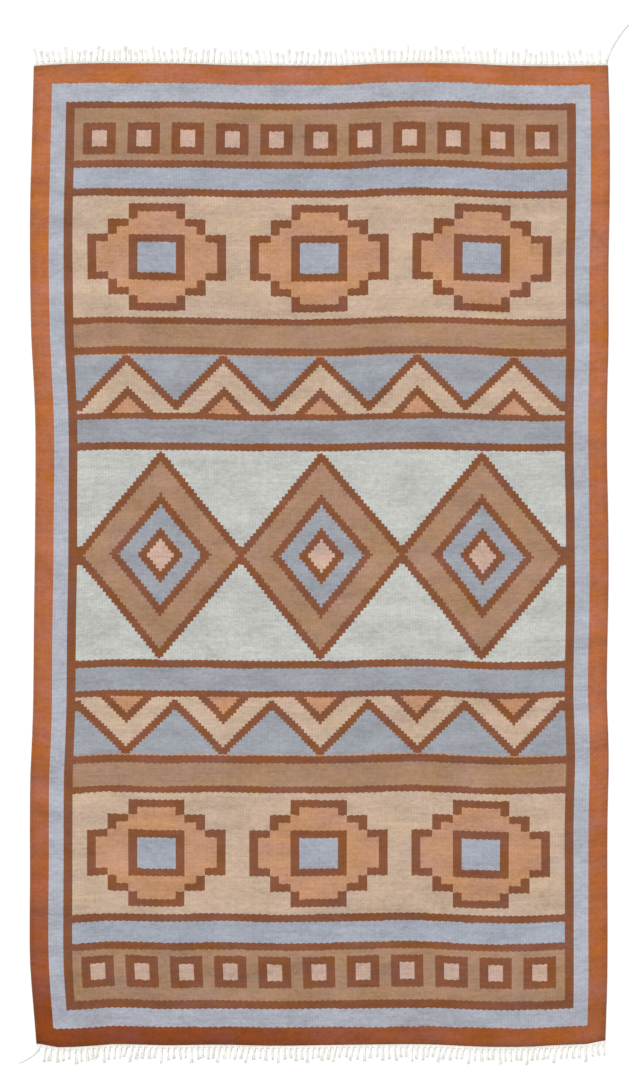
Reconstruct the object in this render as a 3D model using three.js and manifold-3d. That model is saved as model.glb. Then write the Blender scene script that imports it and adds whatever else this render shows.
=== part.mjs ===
// Flatweave rug lying flat: one woven cloth, and the knotted ends of its warp as a fringe at each end.
// Millimetres, +Z up. The origin is the middle of the underside, +Y runs along the warp to the top end,
// and +X is to the right when the top end is uppermost.

import * as THREE from "three";
import { mergeVertices } from "three/addons/utils/BufferGeometryUtils.js";
import Module from "manifold-3d";

const wasm = await Module();
wasm.setup();

// Cloth
const WIDTH = 1200;
const LENGTH = 2048;
const THICKNESS = 4;
const EDGE_ROUND = 1.5; // how far the faces stop short of the edge, where the yarn turns round it
const COCKLE = 0.6; // height of the slack places left by uneven beating
const COCKLE_WAVES = [
  { name: "leaning right", across: 95, along: 140 }, // millimetres for each radian of the wave
  { name: "leaning left", across: 210, along: -75 },
];
const COLUMNS = 32;
const ROWS = 40;
const EDGE_STEPS = 3;

// Fringe: a narrow twined strip that locks the last weft, and the warp ends knotted in locks beyond it
const CLEARANCE = 0.3; // between the cloth and the strip
const STRIP_DEPTH = 6;
const STRIP_HEIGHT = 3;
const LOCKS = 98;
const LOCK_ROOT = 4; // how much of a lock lies in the strip
const LOCK_REACH = 26; // how far a usual lock stands out of the strip
const LOCK_NARROWING = 0.4; // share of the width lost between the floor and a lock's top
const LOCK_SECTIONS = [
  { name: "root", along: 0, width: 5, height: 2.6 },
  { name: "knot", along: 0.26, width: 6.6, height: 4 },
  { name: "cut end", along: 1, width: 6.4, height: 2 },
];

// Unevenness of the locks. A beat is the radians of a wave from one lock to the next.
const SWAY = { degrees: 9, beat: 0.35 }; // neighbours lean together
const LEAN = { degrees: 2.5, beat: 2.4 }; // one leans by itself
const BEND = { size: 1, beat: 1.3 };
const REACH_SPREAD = { size: 7, beat: 1.9, slowBeat: 0.6 };

// At two opposite corners the last lock is the selvedge's own cord, left long and loose.
const CORNER_CORDS = [
  { end: 1, lock: 97, heading: -15, reach: 91, bend: 25 },
  { end: -1, lock: 0, heading: 2, reach: 32, bend: 44 },
];
const CORD_SECTIONS = [
  { name: "root", along: 0, width: 5, height: 3 },
  { name: "hitch", along: 0.1, width: 6.4, height: 4 },
  { name: "neck", along: 0.25, width: 5.4, height: 3.2 },
  { name: "middle", along: 0.5, width: 5.2, height: 3.2 },
  { name: "bend", along: 0.75, width: 5.2, height: 3.2 },
  { name: "cut end", along: 1, width: 5, height: 3 },
];

// How far each edge stands outside its straight line, by the distance along it from the rug's middle.
const LEFT_EDGE = [
  { at: -1024, out: -8 },
  { at: -985, out: -5 },
  { at: -932, out: -0.5 },
  { at: -870, out: 4.5 },
  { at: -680, out: 5 },
  { at: -460, out: 4.2 },
  { at: -368, out: -0.2 },
  { at: -117, out: -3.5 },
  { at: 40, out: -5.4 },
  { at: 300, out: -5.6 },
  { at: 385, out: -1.6 },
  { at: 450, out: 2.1 },
  { at: 600, out: 4.9 },
  { at: 760, out: 4.4 },
  { at: 824, out: 2.4 },
  { at: 920, out: -0.2 },
  { at: 1024, out: -2.7 },
];
const RIGHT_EDGE = [
  { at: -1024, out: -3.5 },
  { at: -995, out: -2.4 },
  { at: -932, out: -0.2 },
  { at: -556, out: 0.8 },
  { at: -431, out: 3.4 },
  { at: -305, out: -0.6 },
  { at: -54, out: 2.9 },
  { at: 70, out: 2.1 },
  { at: 197, out: -0.4 },
  { at: 320, out: 0 },
  { at: 447, out: 2.9 },
  { at: 600, out: 2.9 },
  { at: 761, out: 5.5 },
  { at: 900, out: 5.2 },
  { at: 1024, out: 2 },
];
const TOP_EDGE = [
  { at: -600, out: -2.9 },
  { at: -560, out: -0.2 },
  { at: -480, out: 2.5 },
  { at: -375, out: 2.3 },
  { at: -271, out: 1.5 },
  { at: -190, out: -1.4 },
  { at: -35, out: -2.3 },
  { at: 43, out: -2.1 },
  { at: 120, out: 1.7 },
  { at: 304, out: 1.9 },
  { at: 380, out: -1.9 },
  { at: 461, out: -3.1 },
  { at: 530, out: -2.9 },
  { at: 600, out: -1.5 },
];
const BOTTOM_EDGE = [
  { at: -600, out: -4 },
  { at: -575, out: 2.2 },
  { at: -545, out: 2.8 },
  { at: -500, out: 1.1 },
  { at: -450, out: -3.1 },
  { at: -330, out: -1 },
  { at: -218, out: -2.4 },
  { at: -114, out: -0.1 },
  { at: 0, out: -1.2 },
  { at: 95, out: -2.6 },
  { at: 220, out: -3.3 },
  { at: 356, out: 2.2 },
  { at: 440, out: 1.9 },
  { at: 513, out: -2.2 },
  { at: 560, out: -3.5 },
  { at: 580, out: -6.2 },
  { at: 600, out: -11 },
];

// A smooth curve through the rows of an edge.
function edgeCurve(rows) {
  const places = rows.map((row) => row.at);
  const values = rows.map((row) => row.out);
  const curve = new THREE.CubicInterpolant(places, values, 1, [0]);
  return (at) => curve.evaluate(at)[0];
}

const leftOut = edgeCurve(LEFT_EDGE);
const rightOut = edgeCurve(RIGHT_EDGE);
const topOut = edgeCurve(TOP_EDGE);
const bottomOut = edgeCurve(BOTTOM_EDGE);

// The cloth's point at shares across and along of its width and length, in the uneven outline.
function clothPoint(across, along) {
  const x = (across - 0.5) * WIDTH;
  const y = (along - 0.5) * LENGTH;
  return new THREE.Vector2(
    x + THREE.MathUtils.lerp(-leftOut(y), rightOut(y), across),
    y + THREE.MathUtils.lerp(-bottomOut(x), topOut(x), along),
  );
}

// Gentle rise and fall of the upper face, where the weave lies a little slack.
function cockle(x, y) {
  const waves = COCKLE_WAVES.map((wave) => Math.sin(x / wave.across + y / wave.along));
  return COCKLE * waves[0] * waves[1];
}

// Moves every point of a unit box, given as shares from 0 to 1, and drops all but the positions.
function shapedBox(columns, rows, levels, place) {
  const box = new THREE.BoxGeometry(1, 1, 1, columns, rows, levels);
  box.translate(0.5, 0.5, 0.5);
  box.deleteAttribute("normal");
  box.deleteAttribute("uv");
  const geometry = mergeVertices(box);
  const points = geometry.getAttribute("position");
  const share = new THREE.Vector3();
  for (let i = 0; i < points.count; i++) {
    share.fromBufferAttribute(points, i);
    const placed = place(share.x, share.y, share.z);
    points.setXYZ(i, placed.x, placed.y, placed.z);
  }
  return geometry;
}

// Cloth: flat below, gently cockled above, with its edges rounded off towards both faces.
function clothGeometry() {
  return shapedBox(COLUMNS, ROWS, EDGE_STEPS, (across, along, level) => {
    const inset = EDGE_ROUND * (2 * level - 1) ** 4;
    const edge = clothPoint(across, along);
    const x = edge.x * (1 - (2 * inset) / WIDTH);
    const y = edge.y * (1 - (2 * inset) / LENGTH);
    return new THREE.Vector3(x, y, level * (THICKNESS + cockle(x, y)));
  });
}

// Strip: follows the cloth's end at the clearance. The end is 1 at the top and -1 at the bottom.
function stripGeometry(end) {
  return shapedBox(COLUMNS, 1, 1, (across, depth, level) => {
    const edge = clothPoint(across, (1 + end) / 2);
    const out = CLEARANCE + (end > 0 ? depth : 1 - depth) * STRIP_DEPTH;
    return new THREE.Vector3(edge.x, edge.y + end * out, level * STRIP_HEIGHT);
  });
}

// Lock: a four-sided tapered bundle flat on the floor, thickest at its knot. Its middle line is a parabola that
// bends to one side, and its width is laid square to that line.
function lockGeometry(sections, reach, bend) {
  const length = LOCK_ROOT + reach;
  const last = sections.length - 1;
  return shapedBox(1, last, 1, (across, along, level) => {
    const section = sections[Math.round(along * last)];
    const width = section.width * (1 - LOCK_NARROWING * level);
    const middle = new THREE.Vector2(bend * section.along ** 2, length * section.along);
    const square = new THREE.Vector2(length, -2 * bend * section.along).normalize();
    const point = middle.addScaledVector(square, (across - 0.5) * width);
    return new THREE.Vector3(point.x, point.y, level * section.height);
  });
}

// How lock number i of an end lies. Heading 0 points straight out, and a positive one turns to the left.
function lie(end, i) {
  const cord = CORNER_CORDS.find((row) => row.end === end && row.lock === i);
  if (cord) {
    return { ...cord, sections: CORD_SECTIONS };
  }
  const spread = Math.sin(REACH_SPREAD.beat * i + end) * Math.cos(REACH_SPREAD.slowBeat * i);
  const together = SWAY.degrees * Math.sin(SWAY.beat * i + end);
  const alone = LEAN.degrees * Math.sin(LEAN.beat * i);
  return {
    sections: LOCK_SECTIONS,
    heading: together + alone,
    reach: LOCK_REACH + REACH_SPREAD.size * spread,
    bend: BEND.size * Math.sin(BEND.beat * i),
  };
}

// Lock number i of an end, rooted in the strip.
function laidLock(end, i) {
  const edge = clothPoint((i + 0.5) / LOCKS, (1 + end) / 2);
  const { sections, heading, reach, bend } = lie(end, i);
  const straight = end > 0 ? 0 : Math.PI;
  const root = CLEARANCE + STRIP_DEPTH - LOCK_ROOT;
  const lock = lockGeometry(sections, reach, bend);
  lock.rotateZ(straight + THREE.MathUtils.degToRad(heading));
  lock.translate(edge.x, edge.y + end * root, 0);
  return lock;
}

// A closed geometry as a solid that can be joined to others.
function solidOf(geometry) {
  const mesh = new wasm.Mesh({
    numProp: 3,
    vertProperties: geometry.getAttribute("position").array,
    triVerts: new Uint32Array(geometry.index.array),
  });
  return new wasm.Manifold(mesh);
}

// A joined solid as a geometry.
function geometryOf(solid) {
  const mesh = solid.getMesh();
  const geometry = new THREE.BufferGeometry();
  geometry.setAttribute("position", new THREE.BufferAttribute(mesh.vertProperties, 3));
  geometry.setIndex(new THREE.BufferAttribute(mesh.triVerts, 1));
  return geometry;
}

// Fringe of one end: the strip with all its locks fused into it.
function fringeGeometry(end) {
  let fringe = solidOf(stripGeometry(end));
  for (let i = 0; i < LOCKS; i++) {
    fringe = fringe.add(solidOf(laidLock(end, i)));
  }
  return geometryOf(fringe);
}

const wool = new THREE.MeshStandardMaterial({ color: 0xb48a68, roughness: 0.95, metalness: 0 });
const cotton = new THREE.MeshStandardMaterial({ color: 0xe9e2d2, roughness: 0.9, metalness: 0 });

// Adds a named piece to the rug.
function addPiece(group, name, geometry, material) {
  const piece = new THREE.Mesh(geometry, material);
  piece.name = name;
  group.add(piece);
}

const rug = new THREE.Group();
addPiece(rug, "woven_cloth", clothGeometry(), wool);
addPiece(rug, "fringe_top", fringeGeometry(1), cotton.clone());
addPiece(rug, "fringe_bottom", fringeGeometry(-1), cotton.clone());

export default rug;
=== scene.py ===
"""Looks of a flatweave rug that lies flat.

Ribbed wool cloth with woven borders and bands, knotted cotton fringes, a pale floor and soft light.
"""

import bpy
import numpy as np
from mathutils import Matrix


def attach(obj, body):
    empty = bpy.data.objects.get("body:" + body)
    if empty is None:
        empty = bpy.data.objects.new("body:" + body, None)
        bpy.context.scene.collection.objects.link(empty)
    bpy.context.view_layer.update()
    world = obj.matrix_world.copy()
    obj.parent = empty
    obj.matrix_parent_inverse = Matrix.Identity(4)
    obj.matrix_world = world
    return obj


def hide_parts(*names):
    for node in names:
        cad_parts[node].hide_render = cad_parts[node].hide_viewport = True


bl_info = {
    "name": "Flatweave rug",
    "version": (1, 0, 0),
    "blender": (4, 5, 0),
    "location": "3D View > Sidebar > Rug",
    "description": "Weaves a flat wool rug with plain borders, a banded field and knotted fringes",
    "category": "Add Mesh",
}

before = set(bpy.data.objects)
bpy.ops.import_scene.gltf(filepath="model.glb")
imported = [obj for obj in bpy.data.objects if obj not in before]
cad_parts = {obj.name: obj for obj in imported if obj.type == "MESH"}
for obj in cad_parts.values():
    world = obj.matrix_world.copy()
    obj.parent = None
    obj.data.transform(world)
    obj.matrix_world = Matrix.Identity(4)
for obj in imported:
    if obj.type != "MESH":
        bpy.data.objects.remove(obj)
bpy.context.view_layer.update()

MM = 0.001
BODY = "root"
WEAVE_MAP = "weave"  # across and along the cloth in metres, before its edges wander
BAKE_MAP = "OFBake"  # one island for the face and a narrower one for the back
YARN_MAP = "yarn"  # turns round a yarn, and metres along it

UP = np.array([0, 0, 1.0])
ENDS = {"top": 1, "bottom": -1}

# Slow unevenness of the cloth: its upper face rises and falls where it lies slack, and its ribs sway
# sideways. Each is the product of two slanting waves, with the metres across and along for a radian of
# each.
COCKLE = 0.6 * MM
COCKLE_WAVES = (
    {"across": 0.095, "along": 0.140},
    {"across": 0.210, "along": -0.075},
)
RIB_SWAY = 0.5 * MM
RIB_SWAY_WAVES = (
    {"across": 0.17, "along": 0.061},
    {"across": -0.037, "along": 0.143},
)
SWAY_START = 30 * MM  # how far in from a selvedge the ribs sway in full

# The cloth's mesh, and how its edges are found on the solid
RIB_POINTS = np.array([0, 0.22, 0.5, 0.78])  # shares of a rib's width where the mesh has a column
RIB_POWER = 0.7  # of the sine that shapes a rib, which is fuller the smaller the power
END_ROWS = np.array([0, 0.15, 0.6, 1.3, 2.2]) * MM  # distances from an end where the cloth turns round it
BODY_START = 6 * MM  # distance from an end where evenly spaced rows begin
BODY_ROWS = 52
WALL_SHARES = (0.2, 0.7)  # of the solid's height, between which only its side walls have points
EDGE_WANDER = 0.02  # metres, and more than an edge strays from its straight line

# Unevenness of the fringe's locks. A beat is the radians of a wave from one lock to the next.
SWAY = {"degrees": 9, "beat": 0.35}
LEAN = {"degrees": 2.5, "beat": 2.4}
BEND = {"size": 1 * MM, "beat": 1.3}
REACH_SPREAD = {"size": 7 * MM, "beat": 1.9, "slow_beat": 0.6}

TUBE_SIDES = 6  # of every yarn and strand, so that two four-cornered faces close a cut end

# Twined rows: where each lies in their depth and which way it winds, and the helix of its strands
TWINED_ROWS = (
    {"at": 0.27, "hand": 1},
    {"at": 0.73, "hand": -1},
)
TWINING = {
    "inset": 1 * MM,  # from the selvedge
    "steps": 8,  # to a turn
    "half_depth": 0.9 * MM,
    "half_height": 0.75 * MM,
    "middle": 1.6 * MM,  # height above the floor
    "radius": 0.85 * MM,
}

# Yarns of a lock
LOCK_SEED = 7
LOCK_STEPS = np.array([0, 0.1, 0.2, 0.28, 0.4, 0.55, 0.7, 0.85, 1.0])  # shares of its length
YARN_PLACES = np.array([-1.5, -0.5, 0.5, 1.5])  # from the lock's middle, in spacings
YARN_ROOTS = np.array([-3.6, -2.4, 2.4, 3.6]) * MM  # from the lock's middle, where they leave two ribs
YARN_LIFTS = np.array([0.2, 1.0, 0.6, 0.1])  # how high each is stacked in the knot, in its own radius
LOCK = {
    "gathered": 0.2,  # share of its length by which the yarns have come together
    "knot": 0.24,  # share at which they are drawn up most
    "knot_spread": 0.13,
    "parting": 0.3,  # share from which they lie loose
    "spacing": 1.05 * MM,
    "fan": (1.3, 2.3),  # least and most mm between loose ends
    "stray": 0.45,  # usual mm by which a loose end strays from its place
    "trim": 1.2,  # usual mm by which a yarn is cut short
    "wave": 0.7 * MM,
    "wave_beat": 7,  # radians of the wave along a lock
    "knot_rise": 1.1 * MM,
    "root_rise": 0.6 * MM,
    "settling": 0.8,  # share of the stacking that is lost at the cut end
    "taper": 0.25,  # share of the radius that is lost there
}

# Wraps round a knot. Each is an ellipse round the bundle, at a share of the lock, tipped along it.
WRAPS = (
    {"at": 0.2, "tip": 0.9 * MM},
    {"at": 0.27, "tip": -0.8 * MM},
)
WRAP = {
    "steps": 10,
    "half_width": 2.7 * MM,
    "half_height": 1.35 * MM,
    "middle": 2.1 * MM,  # height above the floor
    "lag": 0.5,  # radians between a wrap's sideways turn and its tip
    "radius": 0.7 * MM,
}

# At two opposite corners the last lock is the selvedge's own cord, left long and loose.
CORNER_CORDS = (
    {"end": 1, "lock": 97, "heading": -15, "reach": 91 * MM, "bend": 25 * MM},
    {"end": -1, "lock": 0, "heading": 2, "reach": 32 * MM, "bend": 44 * MM},
)
CORD = {
    "steps": 80,
    "turn": 13 * MM,  # length of the line for a turn of the two strands
    "half_width": 1.2 * MM,
    "half_height": 0.4 * MM,
    "middle": 1.75 * MM,  # height above the floor
    "radius": 1.35 * MM,
    "parting": 0.9,  # share of its length from which the strands part
    "part": 0.7 * MM,  # how much further apart each stands at the cut end
    "taper": 0.3,  # share of the radius that is lost there
}
HITCH = {
    "steps": 12,
    "at": (8 * MM, 9.6 * MM, 11.2 * MM),  # along the line, for each ring
    "half_width": 2.8 * MM,
    "slant": 0.4 * MM,
}

# The pattern, in ribs counted from the rug's middle one, and in mm along the rug
STITCH_READ = 0.75  # how far along a stitch, as a share, the pattern is read for its yarn
WANDER = {"size": 7, "length": 260}  # how far lines stray along the rug, and over what length
PATTERN_SHIFT = -0.5  # the woven pattern sits this far below the cloth's middle
OUTLINE_RIBS = 3
OUTLINE_LENGTH = 16
FIELD_RIBS = 83.5
FIELD_LENGTH = 929
TOP_THINNER = 4  # how much thinner the field's outline is at the top end

# Borders from the field outwards, by mm outside its ends. At its sides a rib counts for rather more
# than its own width, because the side borders are the narrower ones.
BORDERS = (
    {"from": 0, "yarn": "outline"},
    {"from": 17.5, "yarn": "pale_blue"},
)
BORDER_REACH = 120
OUTER_BORDER = 56
BORDER_RIB = 6.75

# Plain bars of the field, by mm from the middle. Patterned bands cover the rows marked with a motif. A
# colour ramp is read in 255 steps, so a bar starts at a multiple of 4 mm, and the ramp is 255 times as
# long.
RAMP_STEPS = 255
BAR_REACH = 4 * RAMP_STEPS
BARS = (
    {"from": 0, "yarn": "white"},  # lozenges
    {"from": 216, "yarn": "outline"},
    {"from": 232, "yarn": "grey_blue"},
    {"from": 280, "yarn": "outline"},
    {"from": 296, "yarn": "tan"},  # zigzag
    {"from": 416, "yarn": "outline"},
    {"from": 432, "yarn": "camel"},
    {"from": 480, "yarn": "outline"},
    {"from": 496, "yarn": "beige"},  # stepped medallions
    {"from": 748, "yarn": "outline"},
    {"from": 764, "yarn": "blue"},
    {"from": 808, "yarn": "outline"},
    {"from": 824, "yarn": "camel"},  # squares
)

# Each patterned band: where it lies, how many ribs its motif repeats over, and its yarns by the motif's own
# measure, for which across and along are lengths in mm, or ribs and mm for a step
BANDS = (
    {
        "motif": "lozenge",
        "middle": 0,
        "half": 216,
        "ribs": 55,
        "across": 165,
        "along": 200,
        "yarns": (
            (0, "rose"),
            (0.17, "outline"),
            (0.29, "grey_blue"),
            (0.52, "outline"),
            (0.64, "camel"),
            (0.98, "outline"),
            (1.1, "white"),
        ),
    },
    {
        "motif": "zigzag",
        "middle": 356,
        "half": 60,
        "ribs": 33,
        "across": 1,
        "along": 1,
        "yarns": ((0, "tan"), (34, "outline"), (56, "beige"), (104, "outline"), (126, "grey_blue")),
    },
    {
        "motif": "steps",
        "middle": 622,
        "half": 126,
        "ribs": 55,
        "across": 7,
        "along": 32,
        "yarns": ((0, "blue"), (0.5, "outline"), (1.5, "tan"), (4.5, "outline"), (5.5, "beige")),
    },
    {
        "motif": "square",
        "middle": 870,
        "half": 46,
        "ribs": 15,
        "across": 1,
        "along": 1,
        "yarns": ((0, "rose"), (17, "outline"), (33, "camel")),
    },
)

# Yarn colours as sRGB
YARNS = (
    # The two rusts: the outer border runs from the light one at the top right to the deep one at the lower
    # left
    {"name": "faded_rust", "hex": "a8633e", "for": "the outer border where it has faded"},
    {"name": "deep_rust", "hex": "803c18", "for": "the outer border where it is still deep"},
    {"name": "outline", "hex": "79482d", "for": "the thin lines round each colour"},
    {"name": "pale_blue", "hex": "a0a2ab", "for": "the inner border"},
    {"name": "blue", "hex": "9498a2", "for": "the outer bars and the medallions' middles"},
    {"name": "grey_blue", "hex": "8d9096", "for": "the inner bars, zigzags and lozenges"},
    {"name": "white", "hex": "afb0ab", "for": "the middle band's ground"},
    {"name": "beige", "hex": "b49c87", "for": "the largest plain areas"},
    {"name": "tan", "hex": "af8264", "for": "the warm areas"},
    {"name": "camel", "hex": "99775e", "for": "the broad bars and lozenges"},
    {"name": "rose", "hex": "b79a8a", "for": "the small squares"},
    {"name": "cotton", "hex": "f8f6f1", "for": "the warp and its fringe"},
)
SOILED_COTTON = "e8e4da"
PAPER = ("eeeeec", "f2f2f2")

# How dark the cloth is made, which is most at the lower left; the rust border runs from its light yarn to its
# deep one by the same share
DARKENING_TO_LOWER_LEFT = {
    "even": 0.2,  # gained at an even rate from the top to the bottom
    "power": 6.0,  # of the share down, for what is gained near the bottom at the left side
    "right": 0.25,  # how much of that the right side gains
    "darkening": 0.1,  # of the whole cloth where it is darkest, at the lower left
}

# Shades of the wool, each with the mm across and along that its noise is stretched over
STITCH_SHADE = 0.16
SHADES = (
    {"across": 130, "along": 5, "detail": 3.0, "amount": 0.3},  # streaks along the picks
    {"across": 14, "along": 9, "detail": 2.0, "amount": 0.32},  # the yarn's own unevenness
    {"across": 75, "along": 45, "detail": 4.0, "amount": 0.5},  # cloudy patches
    {"across": 700, "along": 60, "detail": 2.0, "amount": 0.36},  # changes of dye lot
)
WARMTH = {"across": 90, "along": 60, "moved": (7, 3, 0), "hue": 0.006, "richness": 0.08}

# Darkening by the mm in from a side, X, or an end, Y: where it starts, where it is full, and how much it
# darkens
EDGE_DARKENING = (
    {"axis": "X", "start": 16, "full": 2, "amount": 0.15},
    {"axis": "Y", "start": 16, "full": 2, "amount": 0.15},
    {"axis": "Y", "start": 120, "full": 70, "amount": 0.04},
)

# Relief of the wool: a stitch's height, and the fibres' height and number in a mm across and along
BEAD = 0.8
FIBRE = {"height": 0.35, "across": 0.5, "along": 3.0, "roughness": 0.1}

PLY_TURN = 4 * MM  # length of cotton yarn for a turn of its plies
PLIES = 2

FLOOR_DROP = 0.2 * MM  # between the rug's underside and the floor
LAMP_WIDTH = 40  # degrees that the lamp fills, which makes its shadows soft
LAMP_TURN = (-32, -24, 0)  # degrees
CAMERA_AIM = (0.6 * MM, 20.3 * MM)
CAMERA_LENS = 85
SENSOR_HEIGHT = 36

# The two colour inputs of a Mix node, by their places among its inputs
MIX_A, MIX_B = 6, 7


def linear(hex_colour):
    """Linear red, green and blue of an sRGB hex colour."""
    channels = np.array([int(hex_colour[i : i + 2], 16) / 255 for i in (0, 2, 4)])
    curved = ((channels + 0.055) / 1.055) ** 2.4
    return tuple(float(value) for value in np.where(channels <= 0.04045, channels / 12.92, curved))


def colour_property(yarn):
    """A colour that a user can change, for one row of YARNS."""
    return bpy.props.FloatVectorProperty(
        name=yarn["name"].replace("_", " ").capitalize(),
        description=f"Yarn of {yarn['for']}",
        subtype="COLOR",
        min=0,
        max=1,
        default=linear(yarn["hex"]),
    )


class YarnColours(bpy.types.PropertyGroup):
    """Colours of the rug's yarns."""

    __annotations__ = {yarn["name"]: colour_property(yarn) for yarn in YARNS}


class ClothSizes(bpy.types.PropertyGroup):
    """Sizes of the woven cloth."""

    width: bpy.props.FloatProperty(
        name="Width", description="Width between straight selvedges", default=1.2, unit="LENGTH"
    )
    length: bpy.props.FloatProperty(
        name="Length", description="Length of the cloth without its fringes", default=2.048, unit="LENGTH"
    )
    thickness: bpy.props.FloatProperty(
        name="Thickness", description="Thickness over the ribs", default=4 * MM, unit="LENGTH"
    )
    ribs: bpy.props.IntProperty(
        name="Ribs",
        description="Ribs between the two selvedge cords, an odd number",
        default=193,
        min=3,
    )
    selvedge: bpy.props.FloatProperty(
        name="Selvedge",
        description="Width of the thicker cord at each side",
        default=8.6 * MM,
        unit="LENGTH",
    )
    valley: bpy.props.FloatProperty(
        name="Valley",
        description="Depth of the groove between two ribs",
        default=0.7 * MM,
        unit="LENGTH",
    )
    stitch: bpy.props.FloatProperty(
        name="Stitch",
        description="Length along the rug of one weft stitch",
        default=2.4 * MM,
        unit="LENGTH",
    )


class FringeSizes(bpy.types.PropertyGroup):
    """Sizes of the fringe at each end."""

    locks: bpy.props.IntProperty(
        name="Locks", description="Knotted locks at each end", default=98, min=1
    )
    clearance: bpy.props.FloatProperty(
        name="Clearance",
        description="Gap between the cloth and the twined rows",
        default=0.3 * MM,
        unit="LENGTH",
    )
    strip_depth: bpy.props.FloatProperty(
        name="Twining", description="Depth of the two twined rows", default=6 * MM, unit="LENGTH"
    )
    root: bpy.props.FloatProperty(
        name="Root", description="How much of a lock lies in the twining", default=4 * MM, unit="LENGTH"
    )
    reach: bpy.props.FloatProperty(
        name="Reach", description="How far a usual lock stands out", default=26 * MM, unit="LENGTH"
    )
    yarn: bpy.props.FloatProperty(
        name="Yarn", description="Radius of one warp yarn", default=0.95 * MM, unit="LENGTH"
    )


class StageSettings(bpy.types.PropertyGroup):
    """Floor, light and camera."""

    floor_side: bpy.props.FloatProperty(
        name="Floor", description="Side of the square floor", default=60.0, unit="LENGTH"
    )
    sky: bpy.props.FloatProperty(
        name="Sky", description="Strength of the even white light", default=0.76, min=0
    )
    lamp: bpy.props.FloatProperty(
        name="Lamp", description="Strength of the soft lamp", default=2.2, min=0
    )
    framed: bpy.props.FloatProperty(
        name="Framed",
        description="Length of floor that the picture's height shows",
        default=2.279,
        unit="LENGTH",
    )


def grid_quads(rows, columns):
    """Corner numbers of a grid's faces. Point (row, column) is number row * columns + column."""
    first = (np.arange(rows - 1)[:, None] * columns + np.arange(columns - 1)).ravel()
    return np.stack([first, first + 1, first + columns + 1, first + columns], axis=1)


def mesh_piece(name, points, quads, maps, material):
    """A smooth-shaded object of four-cornered faces. Each map gives two numbers at every corner of a face."""
    mesh = bpy.data.meshes.new(name)
    mesh.vertices.add(len(points))
    mesh.vertices.foreach_set("co", points.astype(np.float32).ravel())
    mesh.loops.add(quads.size)
    mesh.loops.foreach_set("vertex_index", quads.astype(np.int32).ravel())
    mesh.polygons.add(len(quads))
    mesh.polygons.foreach_set("loop_start", np.arange(0, quads.size, 4, dtype=np.int32))
    for map_name, corners in maps.items():
        layer = mesh.uv_layers.new(name=map_name)
        layer.data.foreach_set("uv", corners.astype(np.float32).ravel())
    mesh.update(calc_edges=True)
    mesh.shade_smooth()
    mesh.materials.append(material)
    piece = bpy.data.objects.new(name, mesh)
    bpy.context.scene.collection.objects.link(piece)
    return piece


def add(tree, kind, inputs=(), **settings):
    """Adds a node with its settings, and fills its inputs from values or sockets.

    It gives the node's first output that its settings leave in use.
    """
    node = tree.nodes.new(kind)
    for setting, value in settings.items():
        setattr(node, setting, value)
    pairs = inputs.items() if isinstance(inputs, dict) else enumerate(inputs)
    for place, value in pairs:
        if isinstance(value, bpy.types.NodeSocket):
            tree.links.new(value, node.inputs[place])
        else:
            node.inputs[place].default_value = value
    return next(output for output in node.outputs if output.enabled)


def new_material(name):
    """An empty material, its node tree and its output node."""
    material = bpy.data.materials.new(name)
    material.use_nodes = True
    material.node_tree.nodes.clear()
    return material, material.node_tree, material.node_tree.nodes.new("ShaderNodeOutputMaterial")


def cloth_outline(node):
    """The cloth's four edges as pairs of arrays: x against y for the sides, y against x for the ends.

    Only the side walls have points well inside the thickness, so their height picks them out.
    """
    points = np.empty(len(node.data.vertices) * 3, np.float32)
    node.data.vertices.foreach_get("co", points)
    points = points.reshape(-1, 3).astype(float)
    low, high = points[:, 2].max() * np.array(WALL_SHARES)
    wall = points[(points[:, 2] > low) & (points[:, 2] < high)]
    edges = {}
    for name, axis, value in (
        ("left", 0, wall[:, 0].min()),
        ("right", 0, wall[:, 0].max()),
        ("bottom", 1, wall[:, 1].min()),
        ("top", 1, wall[:, 1].max()),
    ):
        rows = wall[np.abs(wall[:, axis] - value) < EDGE_WANDER]
        along, first = np.unique(rows[:, 1 - axis].round(6), return_index=True)
        edges[name] = (along, rows[first, axis])
    return edges


def cloth_place(edges, sizes, across, along):
    """x and y of points at metres across and along the straight cloth, once its edges wander.

    Each coordinate runs evenly from one edge's curve to the opposite one's.
    """
    x = across - sizes.width / 2
    y = along - sizes.length / 2
    left = np.interp(y, *edges["left"])
    right = np.interp(y, *edges["right"])
    bottom = np.interp(x, *edges["bottom"])
    top = np.interp(x, *edges["top"])
    return left + (right - left) * across / sizes.width, bottom + (top - bottom) * along / sizes.length


def crossed_waves(waves, x, y):
    """Product of two slanting sine waves."""
    first, second = (np.sin(x / wave["across"] + y / wave["along"]) for wave in waves)
    return first * second


def rounded(distance, radius):
    """How far a rounded edge has opened at a distance in from it, 0 to 1: a quarter circle's height."""
    short = 1 - np.clip(distance / radius, 0, 1)
    return np.sqrt(1 - short**2)


def rib_columns(sizes):
    """Metres across of the mesh's columns, and the height of each between a groove, 0, and a rib's crest, 1.

    A rib's section is a sine's half wave raised to a power under 1, so that it is full and its grooves
    are narrow.
    """
    rib = (sizes.width - 2 * sizes.selvedge) / sizes.ribs
    widths = np.concatenate([[sizes.selvedge], np.full(sizes.ribs, rib), [sizes.selvedge]])
    starts = np.cumsum(widths) - widths
    across = (starts[:, None] + widths[:, None] * RIB_POINTS).ravel()
    crest = np.tile(np.sin(np.pi * RIB_POINTS) ** RIB_POWER, len(widths))
    return np.append(across, sizes.width), np.append(crest, 0)


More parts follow.
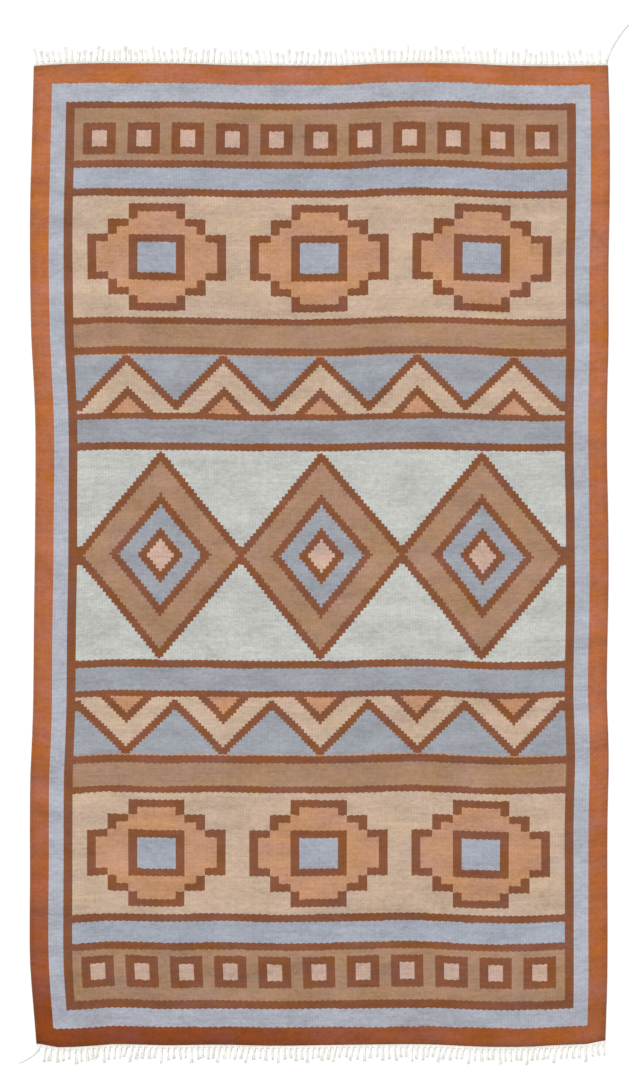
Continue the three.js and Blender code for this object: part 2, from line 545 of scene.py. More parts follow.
def cloth_surface(sizes, edges):
    """Points and faces of the closed cloth, with the metres across and along at each face's corners.

    Two sheets share their rim at mid height. Each stands off it by half the thickness, less the
    grooves, times the rounding of the near edges. Ribs sway sideways a little along the rug.
    """
    across, crest = rib_columns(sizes)
    body = np.linspace(BODY_START, sizes.length - BODY_START, BODY_ROWS)
    along = np.concatenate([END_ROWS, body, sizes.length - END_ROWS[::-1]])
    across, along = np.meshgrid(across, along)
    x, y = cloth_place(edges, sizes, across, along)
    inside = np.minimum(across, sizes.width - across)
    free = np.clip(inside / SWAY_START, 0, 1)
    x += RIB_SWAY * free * crossed_waves(RIB_SWAY_WAVES, across, along)
    side = rounded(inside, sizes.selvedge / 2)
    end = rounded(np.minimum(along, sizes.length - along), END_ROWS[-1])
    half = (sizes.thickness + COCKLE * crossed_waves(COCKLE_WAVES, x, y)) / 2
    groove = sizes.valley * (1 - crest)
    stand = (half - groove) * side * end
    upper = np.stack([x, y, half + stand], axis=-1)
    lower = np.stack([x, y, half - stand], axis=-1)
    rows, columns = across.shape
    number = np.arange(rows * columns).reshape(rows, columns)
    back = number.copy()
    back[1:-1, 1:-1] = rows * columns + np.arange((rows - 2) * (columns - 2)).reshape(rows - 2, columns - 2)
    points = np.concatenate([upper.reshape(-1, 3), lower[1:-1, 1:-1].reshape(-1, 3)])
    faces = grid_quads(rows, columns)
    quads = np.concatenate([faces, back.ravel()[faces][:, ::-1]])
    place = np.stack([across, along], axis=-1).reshape(-1, 2)
    corners = np.concatenate([place[faces], place[faces][:, ::-1]])
    return points, quads, corners


def bake_islands(corners, sizes):
    """Places for the corners in a square: the face at its left and the back, turned over, beside it."""
    margin = 0.004
    face_width = 0.64
    share = corners / (sizes.width, sizes.length)
    face, back = np.split(share, 2)
    face = margin + face * (face_width - 2 * margin, 1 - 2 * margin)
    back = (1 - margin, margin) + back * (2 * margin + face_width - 1, 1 - 2 * margin)
    return np.concatenate([face, back])


def worked_colour(tree, measure, yarns, reach, colours):
    """Yarn colour by a measure, which stays under reach: each (start, yarn) row holds until the next one.

    A start lies an eighth of a ramp's step early, so that one that falls on a step isn't rounded up.
    """
    early = 1 / RAMP_STEPS / 8
    share = add(tree, "ShaderNodeMath", [measure, reach], operation="DIVIDE")
    colour = add(tree, "ShaderNodeValToRGB", [share])
    ramp = colour.node.color_ramp
    ramp.interpolation = "CONSTANT"
    for i, (start, yarn) in enumerate(yarns):
        # A new ramp has two stops to begin with.
        stop = ramp.elements[i] if i < 2 else ramp.elements.new(start / reach)
        stop.position = max(0, start / reach - early)
        stop.color = (*getattr(colours, yarn), 1)
    return colour


def stitch_place(tree, sizes):
    """What is known of a point on the cloth.

    Its place from the rug's middle in mm, its stitch's rib and row numbers, where along the rug the
    pattern is read for that stitch in mm, and how far along the stitch it lies from its middle, as a
    share. Stitches of neighbouring ribs are half a stitch apart, because each pick covers every second
    rib.
    """
    rib_width = (sizes.width - 2 * sizes.selvedge) / sizes.ribs / MM
    stitch = sizes.stitch / MM
    weave = add(tree, "ShaderNodeUVMap", uv_map=WEAVE_MAP)
    centred = add(
        tree,
        "ShaderNodeVectorMath",
        [weave, (1 / MM, 1 / MM, 0), (-sizes.width / 2 / MM, -sizes.length / 2 / MM, 0)],
        operation="MULTIPLY_ADD",
    )
    x = add(tree, "ShaderNodeSeparateXYZ", [centred])
    y = x.node.outputs["Y"]
    in_ribs = add(tree, "ShaderNodeMath", [x, rib_width], operation="DIVIDE")
    rib = add(tree, "ShaderNodeMath", [in_ribs], operation="ROUND")
    odd = add(tree, "ShaderNodeMath", [rib, 2.0], operation="FLOORED_MODULO")
    offset = add(tree, "ShaderNodeMath", [odd, 0.5], operation="MULTIPLY")
    in_stitches = add(tree, "ShaderNodeMath", [y, 1 / stitch, offset], operation="MULTIPLY_ADD")
    row = add(tree, "ShaderNodeMath", [in_stitches], operation="FLOOR")
    start = add(tree, "ShaderNodeMath", [row, offset], operation="SUBTRACT")
    read_at = add(
        tree, "ShaderNodeMath", [start, stitch, STITCH_READ * stitch], operation="MULTIPLY_ADD"
    )
    beyond = add(tree, "ShaderNodeMath", [in_stitches, row], operation="SUBTRACT")
    past = add(tree, "ShaderNodeMath", [beyond, 0.5], operation="SUBTRACT")
    return centred, rib, row, read_at, past


def motif_measure(tree, band, u, v, rib_width):
    """The measure that a band's yarns follow, from a stitch's ribs u and mm v from its motif's middle.

    lozenge: u over its half width plus v over its half length. zigzag: the same sum, both in mm, with v
    from the band's inner edge. square: the larger of the two. steps: whole steps across plus whole
    steps along, doubled. The same sum for a point moved inwards by an outline's width, doubled and 1
    more, is taken instead where it is smaller, so that odd numbers are outlines of even width.
    """
    if band["motif"] == "steps":
        sums = []
        for inset_ribs, inset_length in ((0, 0), (OUTLINE_RIBS, OUTLINE_LENGTH)):
            counts = []
            for distance, inset, step in (
                (u, inset_ribs - 0.5, band["across"]),
                (v, inset_length, band["along"]),
            ):
                moved = add(tree, "ShaderNodeMath", [distance, inset], operation="SUBTRACT")
                kept = add(tree, "ShaderNodeMath", [moved, 0.0], operation="MAXIMUM")
                shared = add(tree, "ShaderNodeMath", [kept, step], operation="DIVIDE")
                counts.append(add(tree, "ShaderNodeMath", [shared], operation="FLOOR"))
            sums.append(add(tree, "ShaderNodeMath", counts, operation="ADD"))
        plain = add(tree, "ShaderNodeMath", [sums[0], 2.0], operation="MULTIPLY")
        outline = add(tree, "ShaderNodeMath", [sums[1], 2.0, 1.0], operation="MULTIPLY_ADD")
        return add(tree, "ShaderNodeMath", [plain, outline], operation="MINIMUM")
    across = add(tree, "ShaderNodeMath", [u, rib_width / band["across"]], operation="MULTIPLY")
    along = add(tree, "ShaderNodeMath", [v, 1 / band["along"]], operation="MULTIPLY")
    joined = "MAXIMUM" if band["motif"] == "square" else "ADD"
    return add(tree, "ShaderNodeMath", [across, along], operation=joined)


def woven_pattern(tree, sizes, colours, rib, read_at, depth):
    """Yarn colour of each stitch: patterned bands over plain bars, inside an outline and two plain borders.

    The field is the same in its four quarters. A slow noise bends the lines along the rug by a few mm.
    """
    rib_width = (sizes.width - 2 * sizes.selvedge) / sizes.ribs / MM
    across = add(tree, "ShaderNodeMath", [rib, rib_width], operation="MULTIPLY")
    stitch_at = add(tree, "ShaderNodeCombineXYZ", [across, read_at])
    size, length = WANDER["size"], WANDER["length"]
    wander = add(tree, "ShaderNodeTexNoise", {"Vector": stitch_at, "Scale": 1 / length, "Detail": 1.0})
    drift = add(tree, "ShaderNodeMath", [wander, size, -size / 2 - PATTERN_SHIFT], operation="MULTIPLY_ADD")
    bent = add(tree, "ShaderNodeMath", [read_at, drift], operation="ADD")
    from_middle = add(tree, "ShaderNodeMath", [bent], operation="ABSOLUTE")
    from_line = add(tree, "ShaderNodeMath", [rib], operation="ABSOLUTE")
    bars = [(bar["from"], bar["yarn"]) for bar in BARS]
    colour = worked_colour(tree, from_middle, bars, BAR_REACH, colours)
    for band in BANDS:
        half = band["ribs"] / 2
        shifted = add(tree, "ShaderNodeMath", [rib, half], operation="ADD")
        turned = add(tree, "ShaderNodeMath", [shifted, band["ribs"]], operation="FLOORED_MODULO")
        centred = add(tree, "ShaderNodeMath", [turned, half], operation="SUBTRACT")
        u = add(tree, "ShaderNodeMath", [centred], operation="ABSOLUTE")
        start = band["middle"] - band["half"] if band["motif"] == "zigzag" else band["middle"]
        offset = add(tree, "ShaderNodeMath", [from_middle, start], operation="SUBTRACT")
        v = add(tree, "ShaderNodeMath", [offset], operation="ABSOLUTE")
        measure = motif_measure(tree, band, u, v, rib_width)
        reach = band["yarns"][-1][0] * 2
        motif = worked_colour(tree, measure, band["yarns"], reach, colours)
        here = add(
            tree, "ShaderNodeMath", [from_middle, band["middle"], band["half"]], operation="COMPARE"
        )
        colour = add(tree, "ShaderNodeMix", {"Factor": here, MIX_A: colour, MIX_B: motif}, data_type="RGBA")
    past_ribs = add(tree, "ShaderNodeMath", [from_line, FIELD_RIBS], operation="SUBTRACT")
    past_side = add(tree, "ShaderNodeMath", [past_ribs, BORDER_RIB], operation="MULTIPLY")
    past_end = add(tree, "ShaderNodeMath", [from_middle, FIELD_LENGTH], operation="SUBTRACT")
    outside = add(tree, "ShaderNodeMath", [past_side, past_end], operation="MAXIMUM")
    borders = [(border["from"], border["yarn"]) for border in BORDERS]
    border = worked_colour(tree, outside, borders, BORDER_REACH, colours)
    # The rust runs from its light yarn to its deep one towards the lower left, by the same share that darkens
    # the cloth there
    rust = add(
        tree,
        "ShaderNodeMix",
        {"Factor": depth, MIX_A: (*colours.faded_rust, 1), MIX_B: (*colours.deep_rust, 1)},
        data_type="RGBA",
    )
    in_rust = add(tree, "ShaderNodeMath", [outside, OUTER_BORDER], operation="GREATER_THAN")
    border = add(tree, "ShaderNodeMix", {"Factor": in_rust, MIX_A: border, MIX_B: rust}, data_type="RGBA")
    top = add(tree, "ShaderNodeMath", [bent, 0.0], operation="GREATER_THAN")
    past_top = add(tree, "ShaderNodeMath", [top, -TOP_THINNER, past_end], operation="MULTIPLY_ADD")
    past_field = add(tree, "ShaderNodeMath", [past_side, past_top], operation="MAXIMUM")
    in_border = add(tree, "ShaderNodeMath", [past_field, 0.0], operation="GREATER_THAN")
    return add(tree, "ShaderNodeMix", {"Factor": in_border, MIX_A: colour, MIX_B: border}, data_type="RGBA")


def lower_left_darkness(tree, axes, half_width, half_length):
    """How dark the cloth is made, from 0 to 1: darkest at the lower left.

    The share of the way down counts a little everywhere, and a high power of it counts in full at the
    left side.
    """
    left = add(tree, "ShaderNodeMapRange", [axes["X"], -half_width, half_width, 1.0, DARKENING_TO_LOWER_LEFT["right"]])
    down = add(tree, "ShaderNodeMapRange", [axes["Y"], -half_length, half_length, 1.0, 0.0])
    near_end = add(tree, "ShaderNodeMath", [down, DARKENING_TO_LOWER_LEFT["power"]], operation="POWER")
    lower = add(tree, "ShaderNodeMath", [near_end, left], operation="MULTIPLY")
    return add(tree, "ShaderNodeMath", [down, DARKENING_TO_LOWER_LEFT["even"], lower], operation="MULTIPLY_ADD")


def wool_value(tree, place, axes, halves, rib, row, depth):
    """How light the wool is, about 1: a shade for each stitch and patch, less its darkening towards the lower
    left and near the edges.
    """
    stitch_number = add(tree, "ShaderNodeCombineXYZ", [rib, row])
    single = add(tree, "ShaderNodeTexWhiteNoise", {"Vector": stitch_number}, noise_dimensions="2D")
    shades = [(single, STITCH_SHADE)]
    for shade in SHADES:
        stretch = (1 / shade["across"], 1 / shade["along"], 0)
        stretched = add(tree, "ShaderNodeVectorMath", [place, stretch], operation="MULTIPLY")
        noise = {"Vector": stretched, "Scale": 1.0, "Detail": shade["detail"]}
        shades.append((add(tree, "ShaderNodeTexNoise", noise), shade["amount"]))
    value = 1.0 - sum(amount for _, amount in shades) / 2
    for noise, amount in shades:
        value = add(tree, "ShaderNodeMath", [noise, amount, value], operation="MULTIPLY_ADD")
    # The whole cloth is made darker towards the lower left
    value = add(tree, "ShaderNodeMath", [depth, -DARKENING_TO_LOWER_LEFT["darkening"], value], operation="MULTIPLY_ADD")
    # The cloth is darker near its selvedges and ends, and a little darker over a wider band at each end
    for darker_rim in EDGE_DARKENING:
        half = halves[darker_rim["axis"]]
        distance = add(tree, "ShaderNodeMath", [axes[darker_rim["axis"]]], operation="ABSOLUTE")
        darkened = add(
            tree,
            "ShaderNodeMapRange",
            [distance, half - darker_rim["start"], half - darker_rim["full"], 0.0, -darker_rim["amount"]],
        )
        value = add(tree, "ShaderNodeMath", [value, darkened], operation="ADD")
    return value


def wool_material(sizes, colours):
    """Matt handspun wool, packed over a cotton warp in a weft-faced plain weave.

    To the eye it is dry and soft: round stitches 2.4 mm long in ribs 6 mm wide, small steps where
    colours meet, streaks from one dye lot to the next, and a ground that is lighter towards the top and
    darker towards the lower left. The selvedges and ends are a little darker.
    """
    material, tree, output = new_material("handspun wool, weft-faced weave")
    place, rib, row, read_at, past = stitch_place(tree, sizes)
    axes = add(tree, "ShaderNodeSeparateXYZ", [place]).node.outputs
    halves = {"X": sizes.width / 2 / MM, "Y": sizes.length / 2 / MM}
    depth = lower_left_darkness(tree, axes, halves["X"], halves["Y"])
    colour = woven_pattern(tree, sizes, colours, rib, read_at, depth)
    value = wool_value(tree, place, axes, halves, rib, row, depth)

    # Patches of the yarn are a little warmer and richer than others.
    stretch = (1 / WARMTH["across"], 1 / WARMTH["along"], 0)
    moved = WARMTH["moved"]
    warm_place = add(tree, "ShaderNodeVectorMath", [place, stretch, moved], operation="MULTIPLY_ADD")
    warm = add(tree, "ShaderNodeTexNoise", {"Vector": warm_place, "Scale": 1.0, "Detail": 2.0})
    hue, richness = WARMTH["hue"], WARMTH["richness"]
    turned_hue = add(tree, "ShaderNodeMapRange", [warm, 0.3, 0.7, 0.5 - hue, 0.5 + hue])
    rich = add(tree, "ShaderNodeMapRange", [warm, 0.3, 0.7, 1 - richness, 1 + richness])
    shaded = add(
        tree,
        "ShaderNodeHueSaturation",
        {"Color": colour, "Hue": turned_hue, "Saturation": rich, "Value": value},
    )

    # Relief: a stitch is a bead, highest at its middle and falling with the square of the way to its
    # ends, and its fibres run along the pick.
    squared = add(tree, "ShaderNodeMath", [past, past], operation="MULTIPLY")
    bead = add(tree, "ShaderNodeMath", [squared, -4 * BEAD, BEAD], operation="MULTIPLY_ADD")
    often = (FIBRE["across"], FIBRE["along"], 0)
    fibre_place = add(tree, "ShaderNodeVectorMath", [place, often], operation="MULTIPLY")
    fibre = add(tree, "ShaderNodeTexNoise", {"Vector": fibre_place, "Scale": 1.0, "Detail": 2.0})
    height = add(tree, "ShaderNodeMath", [fibre, FIBRE["height"], bead], operation="MULTIPLY_ADD")
    relief = add(tree, "ShaderNodeBump", {"Strength": 0.6, "Distance": 0.5 * MM, "Height": height})
    rough = add(tree, "ShaderNodeMath", [fibre, FIBRE["roughness"], 0.86], operation="MULTIPLY_ADD")
    shader = add(
        tree,
        "ShaderNodeBsdfPrincipled",
        {
            "Base Color": shaded,
            "Roughness": rough,
            "Normal": relief,
            "IOR": 1.54,
            "Specular IOR Level": 0.25,
            "Sheen Weight": 0.08,
            "Sheen Roughness": 0.5,
        },
    )
    tree.links.new(shader, output.inputs["Surface"])
    return material


def cotton_material(colours):
    """Undyed cotton warp, twisted from two plies, with a slight sheen on clean off-white.

    The plies show as slanting grooves, 4 mm to a turn, with painted shade in them, and the yarn is greyer
    in places where it was handled.
    """
    material, tree, output = new_material("undyed cotton warp, two-ply")
    yarn = add(tree, "ShaderNodeUVMap", uv_map=YARN_MAP)
    turn = add(tree, "ShaderNodeSeparateXYZ", [yarn])
    along = turn.node.outputs["Y"]
    twist = add(tree, "ShaderNodeMath", [along, 1 / PLY_TURN, turn], operation="MULTIPLY_ADD")
    wave = add(tree, "ShaderNodeMath", [twist, PLIES * 2 * np.pi], operation="MULTIPLY")
    ply = add(tree, "ShaderNodeMath", [wave], operation="SINE")
    place = add(tree, "ShaderNodeTexCoord").node.outputs["Object"]
    handled = add(tree, "ShaderNodeTexNoise", {"Vector": place, "Scale": 60.0, "Detail": 3.0})
    darkened = add(tree, "ShaderNodeMapRange", [handled, 0.35, 0.7, 0.0, 0.55])
    shades = {"Factor": darkened, MIX_A: (*colours.cotton, 1), MIX_B: (*linear(SOILED_COTTON), 1)}
    colour = add(tree, "ShaderNodeMix", shades, data_type="RGBA")
    # Painted shade: the colour is drawn darker in the grooves between the plies, on top of their bump
    groove = add(tree, "ShaderNodeMapRange", [ply, -1.0, 0.2, 0.91, 1.0])
    shaded = add(tree, "ShaderNodeHueSaturation", {"Color": colour, "Value": groove})
    relief = add(tree, "ShaderNodeBump", {"Strength": 0.7, "Distance": 0.3 * MM, "Height": ply})
    rough = add(tree, "ShaderNodeMapRange", [handled, 0.3, 0.7, 0.8, 0.92])
    shader = add(
        tree,
        "ShaderNodeBsdfPrincipled",
        {
            "Base Color": shaded,
            "Roughness": rough,
            "Normal": relief,
            "IOR": 1.53,
            "Specular IOR Level": 0.3,
            "Sheen Weight": 0.1,
            "Sheen Roughness": 0.4,
        },
    )
    tree.links.new(shader, output.inputs["Surface"])
    return material


def floor_material():
    """Matt white paper, rolled out as a studio floor: even, with the faintest cloudiness."""
    material, tree, output = new_material("matt white paper")
    place = add(tree, "ShaderNodeTexCoord").node.outputs["Object"]
    cloud = add(tree, "ShaderNodeTexNoise", {"Vector": place, "Scale": 1.5, "Detail": 2.0})
    shades = {"Factor": cloud, MIX_A: (*linear(PAPER[0]), 1), MIX_B: (*linear(PAPER[1]), 1)}
    colour = add(tree, "ShaderNodeMix", shades, data_type="RGBA")
    shader = add(tree, "ShaderNodeBsdfPrincipled", {"Base Color": colour, "Roughness": 0.95})
    tree.links.new(shader, output.inputs["Surface"])
    return material


def strands(paths, radii, axis=UP, closed=False):
    """Points, faces and face corners' turns and distances for many tubes at once.

    Paths are (tubes, steps, 3), and radii (tubes, steps). Round each step, points stand at even angles,
    counted from the direction square to the path and to the axis, which may be one for all or (tubes,
    1, 3). An open tube's ends are closed by two faces each. A closed one joins its last step to its
    first.
    """
    sides = TUBE_SIDES
    tangent = np.roll(paths, -1, 1) - np.roll(paths, 1, 1) if closed else np.gradient(paths, axis=1)
    tangent /= np.linalg.norm(tangent, axis=-1, keepdims=True)
    beside = np.cross(tangent, axis)
    beside /= np.linalg.norm(beside, axis=-1, keepdims=True)
    above = np.cross(beside, tangent)
    angle = np.arange(sides) * 2 * np.pi / sides
    ring = beside[:, :, None] * np.cos(angle)[:, None] + above[:, :, None] * np.sin(angle)[:, None]
    points = paths[:, :, None] + radii[:, :, None, None] * ring
    tubes, steps = paths.shape[:2]
    links = steps if closed else steps - 1
    tube, step, side = np.meshgrid(np.arange(tubes), np.arange(links), np.arange(sides), indexing="ij")

    def number(step_shift, side_shift):
        here = (step + step_shift) % steps
        return (tube * steps + here) * sides + (side + side_shift) % sides

    quads = np.stack([number(0, 0), number(0, 1), number(1, 1), number(1, 0)], axis=-1).reshape(-1, 4)
    lengths = np.linalg.norm(np.diff(paths, axis=1, append=paths[:, :1]), axis=-1)
    distance = np.concatenate([np.zeros((tubes, 1)), np.cumsum(lengths, axis=1)], axis=1)

    def place(step_shift, side_shift):
        return np.stack([(side + side_shift) / sides, distance[tube, step + step_shift]], axis=-1)

    corners = np.stack([place(0, 0), place(0, 1), place(1, 1), place(1, 0)], axis=-2).reshape(-1, 4, 2)
    if not closed:
        first = (np.arange(tubes) * steps * sides)[:, None]
        last = first + (steps - 1) * sides
        caps = np.concatenate(
            [first + (3, 2, 1, 0), first + (5, 4, 3, 0), last + (0, 1, 2, 3), last + (0, 3, 4, 5)]
        )
        quads = np.concatenate([quads, caps])
        corners = np.concatenate([corners, np.zeros((len(caps), 4, 2))])
    return points.reshape(-1, 3), quads, corners


def joined(parts):
    """Several (points, faces, corners) as one, with the faces' numbers moved on."""
    starts = np.cumsum([0] + [len(points) for points, _, _ in parts])
    return (
        np.concatenate([points for points, _, _ in parts]),
        np.concatenate([quads + start for (_, quads, _), start in zip(parts, starts)]),
        np.concatenate([corners for _, _, corners in parts]),
    )


def turned(points, heading):
    """Points turned about the upright axis by an angle for each first index."""
    sine, cosine = np.sin(heading), np.cos(heading)
    x, y, z = np.moveaxis(points, -1, 0)
    shape = (-1,) + (1,) * (x.ndim - 1)
    sine, cosine = sine.reshape(shape), cosine.reshape(shape)
    return np.stack([x * cosine - y * sine, x * sine + y * cosine, z], axis=-1)


def twined_rows(fringe, sizes, edges, end):
    """Two rows that lock the last pick, each of two strands that wind round each other, in opposite ways.

    A strand's path is a flattened helix along the cloth's end, a full turn for each two ribs.
    """
    inset = TWINING["inset"]
    turns = sizes.ribs // 2
    across = np.linspace(inset, sizes.width - inset, turns * TWINING["steps"] + 1)
    x, y = cloth_place(edges, sizes, across, np.full_like(across, sizes.length if end > 0 else 0))
    angle = across / sizes.width * turns * 2 * np.pi
    paths = []
    for row in TWINED_ROWS:
        for phase in (0, np.pi):
            wound = row["hand"] * angle + phase
            middle = fringe.clearance + row["at"] * fringe.strip_depth
            out = middle + TWINING["half_depth"] * np.cos(wound)
            up = TWINING["middle"] + TWINING["half_height"] * np.sin(wound)
            paths.append(np.stack([x, y + end * out, up], axis=-1))
    paths = np.stack(paths)
    return strands(paths, np.full(paths.shape[:2], TWINING["radius"]))


def lock_lies(fringe, sizes, edges, end):
    """Root, heading, reach and bend of every lock of an end, from sines of the lock's number."""
    number = np.arange(fringe.locks)
    spread = np.sin(REACH_SPREAD["beat"] * number + end) * np.cos(REACH_SPREAD["slow_beat"] * number)
    together = SWAY["degrees"] * np.sin(SWAY["beat"] * number + end)
    alone = LEAN["degrees"] * np.sin(LEAN["beat"] * number)
    heading = np.radians(together + alone)
    reach = fringe.reach + REACH_SPREAD["size"] * spread
    bend = BEND["size"] * np.sin(BEND["beat"] * number)
    across = (number + 0.5) / fringe.locks * sizes.width
    x, y = cloth_place(edges, sizes, across, np.full_like(across, sizes.length if end > 0 else 0))
    out = fringe.clearance + fringe.strip_depth - fringe.root
    roots = np.stack([x, y + end * out, np.zeros_like(x)], axis=-1)
    return roots, heading + (0 if end > 0 else np.pi), reach, bend


def knotted_locks(fringe, roots, heading, reach, bend):
    """Four warp yarns in each lock, drawn together at a knot and loose beyond it, and the knot's two wraps.

    Across, a yarn runs from its rib to the knot and fans out again in a slight wave. Its height falls
    from the knot nearly to its own radius on the floor. A wrap is an ellipse round the bundle, tipped
    along it.
    """
    random = np.random.default_rng(LOCK_SEED)
    locks = len(roots)
    share = LOCK_STEPS
    knot = np.exp(-(((share - LOCK["knot"]) / LOCK["knot_spread"]) ** 2))
    loose = np.clip((share - LOCK["parting"]) / (1 - LOCK["parting"]), 0, 1)
    early = np.clip(1 - share / LOCK["gathered"], 0, 1) ** 2
    fan = random.uniform(*LOCK["fan"], (locks, 1)) * MM
    stray = random.normal(0, LOCK["stray"], (locks, 4)) * MM
    x = (
        YARN_ROOTS[:, None] * early
        + YARN_PLACES[:, None] * LOCK["spacing"] * (1 - early) * (1 - loose)
        + (YARN_PLACES * fan + stray)[:, :, None] * loose
    )
    phase = random.uniform(0, 2 * np.pi, (locks, 4, 1))
    x = x + LOCK["wave"] * loose * np.sin(LOCK["wave_beat"] * share + phase)
    x = x + (bend[:, None] * share**2)[:, None, :]
    trimmed = reach[:, None] - np.abs(random.normal(0, LOCK["trim"], (locks, 4))) * MM
    y = (fringe.root + trimmed)[:, :, None] * share
    rise = LOCK["knot_rise"] * knot + LOCK["root_rise"] * early
    stacked = YARN_LIFTS[:, None] * fringe.yarn * (1 - LOCK["settling"] * loose)
    z = fringe.yarn + rise + stacked
    paths = np.stack([x, y, np.broadcast_to(z, x.shape)], axis=-1)
    paths = turned(paths, heading) + roots[:, None, None]
    radii = fringe.yarn * (1 - LOCK["taper"] * share**3) * np.ones((locks * 4, 1))
    parts = [strands(paths.reshape(-1, len(share), 3), radii)]
    angle = np.arange(WRAP["steps"]) * 2 * np.pi / WRAP["steps"]
    for wrap in WRAPS:
        length = (fringe.root + reach)[:, None] * wrap["at"]
        wrap_x = WRAP["half_width"] * np.cos(angle) + (bend * wrap["at"] ** 2)[:, None]
        wrap_y = length + wrap["tip"] * np.sin(angle + WRAP["lag"])
        wrap_z = WRAP["middle"] + WRAP["half_height"] * np.sin(angle)
        wraps = np.stack([wrap_x, wrap_y, np.broadcast_to(wrap_z, wrap_x.shape)], axis=-1)
        wraps = turned(wraps, heading) + roots[:, None]
        axis = turned(np.tile([0, 1.0, 0], (locks, 1, 1)), heading)
        parts.append(strands(wraps, np.full(wraps.shape[:2], WRAP["radius"]), axis, closed=True))
    return joined(parts)


def corner_cord(fringe, root, cord, end):
    """A selvedge cord's loose end: two strands round each other along a parabola, hitched near its root.

    The parabola lies flat. A strand stands off it by a sine and a cosine, square to it and upright, and
    the two part at the cut end. The hitch is three rings round the line.
    """
    length = fringe.root + cord["reach"]
    heading = np.array([np.radians(cord["heading"]) + (0 if end > 0 else np.pi)])

    def beside(share, off, up):
        middle = np.stack([cord["bend"] * share**2, length * share], axis=-1)
        square = np.stack([np.full_like(share, length), -2 * cord["bend"] * share], axis=-1)
        square /= np.linalg.norm(square, axis=-1, keepdims=True)
        flat = middle + square * off[:, None]
        return turned(np.stack([flat[:, 0], flat[:, 1], up], axis=-1)[None], heading) + root

    share = np.linspace(0, 1, CORD["steps"])
    angle = share * np.hypot(length, cord["bend"]) / CORD["turn"] * 2 * np.pi
    part = np.clip((share - CORD["parting"]) / (1 - CORD["parting"]), 0, 1)
    off = CORD["half_width"] + CORD["part"] * part
    rise = CORD["half_height"] * (1 - part)
    paths = [
        beside(share, off * np.cos(angle + phase), CORD["middle"] + rise * np.sin(angle + phase))
        for phase in (0, np.pi)
    ]
    radii = CORD["radius"] * (1 - CORD["taper"] * part**3) * np.ones((2, 1))
    parts = [strands(np.concatenate(paths), radii)]
    around = np.arange(HITCH["steps"]) * 2 * np.pi / HITCH["steps"]
    axis = turned(np.array([[[0, 1.0, 0]]]), heading)
    for distance in HITCH["at"]:
        ring_share = distance / length + HITCH["slant"] / length * np.sin(around)
        up = WRAP["middle"] + WRAP["half_height"] * np.sin(around)
        ring = beside(ring_share, HITCH["half_width"] * np.cos(around), up)
        parts.append(strands(ring, np.full((1, HITCH["steps"]), WRAP["radius"]), axis, closed=True))
    return joined(parts)


def fringe_surface(fringe, sizes, edges, end):
    """Twined rows, knotted locks and the corner's cord of one end."""
    roots, heading, reach, bend = lock_lies(fringe, sizes, edges, end)
    cords = [cord for cord in CORNER_CORDS if cord["end"] == end]
    usual = np.ones(len(roots), bool)
    usual[[cord["lock"] for cord in cords]] = False
    parts = [
        twined_rows(fringe, sizes, edges, end),
        knotted_locks(fringe, roots[usual], heading[usual], reach[usual], bend[usual]),
    ]
    parts += [corner_cord(fringe, roots[cord["lock"]], cord, end) for cord in cords]
    return joined(parts)


class RUG_OT_stage(bpy.types.Operator):
    """Lay the pale floor, light it softly and hang the camera over the rug"""

    bl_idname = "rug.stage"
    bl_label = "Set Stage"

    def execute(self, context):
        scene = context.scene
        stage = scene.rug_stage
        half = stage.floor_side / 2
        corners = np.array([[-half, -half, 0], [half, -half, 0], [half, half, 0], [-half, half, 0]])
        corners[:, 2] = -FLOOR_DROP
        quads = np.array([[0, 1, 2, 3]])
        floor = mesh_piece("studio_floor", corners, quads, {}, floor_material())

        world = bpy.data.worlds.new("white room")
        scene.world = world
        world.use_nodes = True
        sky = world.node_tree.nodes["Background"]
        sky.inputs["Color"].default_value = (1, 1, 1, 1)
        sky.inputs["Strength"].default_value = stage.sky

        lamp = bpy.data.lights.new("soft lamp", "SUN")
        lamp.energy = stage.lamp
        lamp.angle = np.radians(LAMP_WIDTH)
        lamp_holder = bpy.data.objects.new("soft lamp", lamp)
        lamp_holder.rotation_euler = np.radians(LAMP_TURN)
        scene.collection.objects.link(lamp_holder)

        camera = bpy.data.cameras.new("overhead")
        camera.sensor_fit = "VERTICAL"
        camera.sensor_height = SENSOR_HEIGHT
        camera.lens = CAMERA_LENS
        holder = bpy.data.objects.new("overhead", camera)
        holder.location = (*CAMERA_AIM, stage.framed * CAMERA_LENS / SENSOR_HEIGHT)
        scene.collection.objects.link(holder)
        scene.camera = holder
        scene.view_settings.view_transform = "Standard"
        return {"FINISHED"}


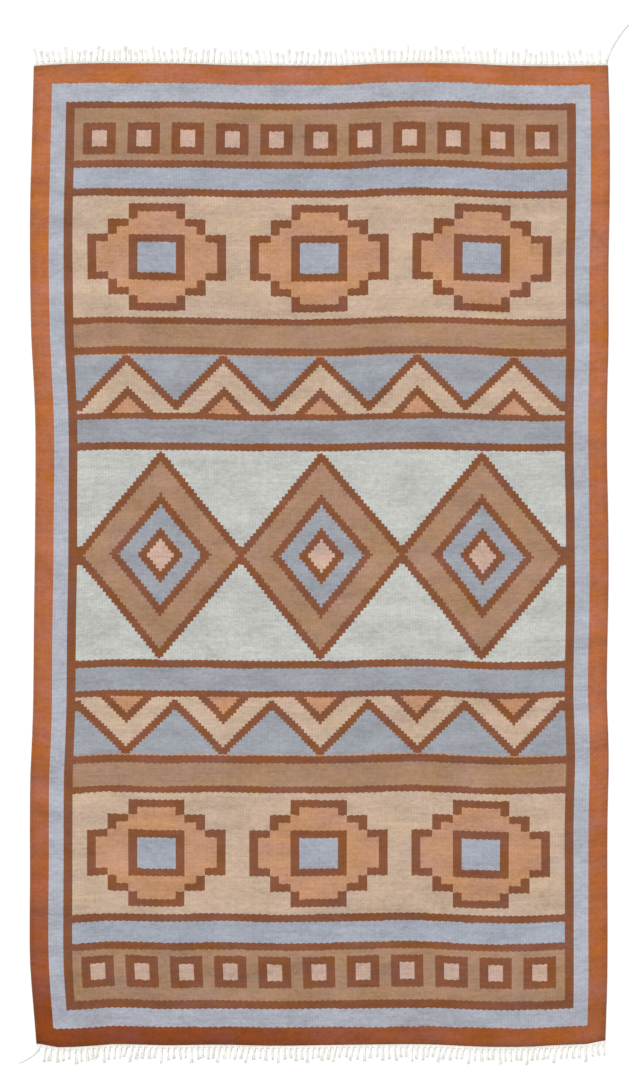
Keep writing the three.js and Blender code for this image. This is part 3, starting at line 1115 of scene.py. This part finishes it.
class RUG_OT_cloth(bpy.types.Operator):
    """Weave the wool cloth with its borders and field"""

    bl_idname = "rug.cloth"
    bl_label = "Weave Cloth"

    def execute(self, context):
        sizes = context.scene.rug_cloth
        edges = cloth_outline(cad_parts["woven_cloth"])
        points, quads, corners = cloth_surface(sizes, edges)
        maps = {WEAVE_MAP: corners, BAKE_MAP: bake_islands(corners, sizes)}
        material = wool_material(sizes, context.scene.rug_yarns)
        cloth = mesh_piece("wool_cloth", points, quads, maps, material)
        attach(cloth, BODY)
        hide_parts("woven_cloth")
        return {"FINISHED"}


class RUG_OT_fringes(bpy.types.Operator):
    """Twine the last rows and knot the warp's free ends at both ends of the rug"""

    bl_idname = "rug.fringes"
    bl_label = "Knot Fringes"

    def execute(self, context):
        sizes = context.scene.rug_cloth
        fringe = context.scene.rug_fringe
        edges = cloth_outline(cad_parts["woven_cloth"])
        material = cotton_material(context.scene.rug_yarns)
        for name, end in ENDS.items():
            points, quads, corners = fringe_surface(fringe, sizes, edges, end)
            piece = mesh_piece(f"cotton_fringe_{name}", points, quads, {YARN_MAP: corners}, material)
            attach(piece, BODY)
            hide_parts(f"fringe_{name}")
        return {"FINISHED"}


class RUG_PT_panel(bpy.types.Panel):
    """Sizes, colours and steps of the rug"""

    bl_label = "Flatweave Rug"
    bl_idname = "RUG_PT_panel"
    bl_space_type = "VIEW_3D"
    bl_region_type = "UI"
    bl_category = "Rug"

    def draw(self, context):
        for operator in OPERATORS:
            self.layout.operator(operator.bl_idname)
        for group in SETTINGS:
            box = self.layout.box()
            settings = getattr(context.scene, group)
            for name in settings.bl_rna.properties.keys():
                if name not in {"rna_type", "name"}:
                    box.prop(settings, name)


OPERATORS = (RUG_OT_stage, RUG_OT_fringes, RUG_OT_cloth)
SETTINGS = {
    "rug_yarns": YarnColours,
    "rug_cloth": ClothSizes,
    "rug_fringe": FringeSizes,
    "rug_stage": StageSettings,
}


def register():
    for group in (*SETTINGS.values(), *OPERATORS, RUG_PT_panel):
        bpy.utils.register_class(group)
    for name, group in SETTINGS.items():
        setattr(bpy.types.Scene, name, bpy.props.PointerProperty(type=group))


def unregister():
    for name in SETTINGS:
        delattr(bpy.types.Scene, name)
    for group in (RUG_PT_panel, *OPERATORS, *SETTINGS.values()):
        bpy.utils.unregister_class(group)


def plain(box):
    """A box's corners as lists of numbers."""
    return [[float(value) for value in corner] for corner in box]


def main():
    register()
    bpy.ops.rug.stage()
    bpy.ops.rug.fringes()
    bpy.ops.rug.cloth()


if __name__ == "__main__":
    main()
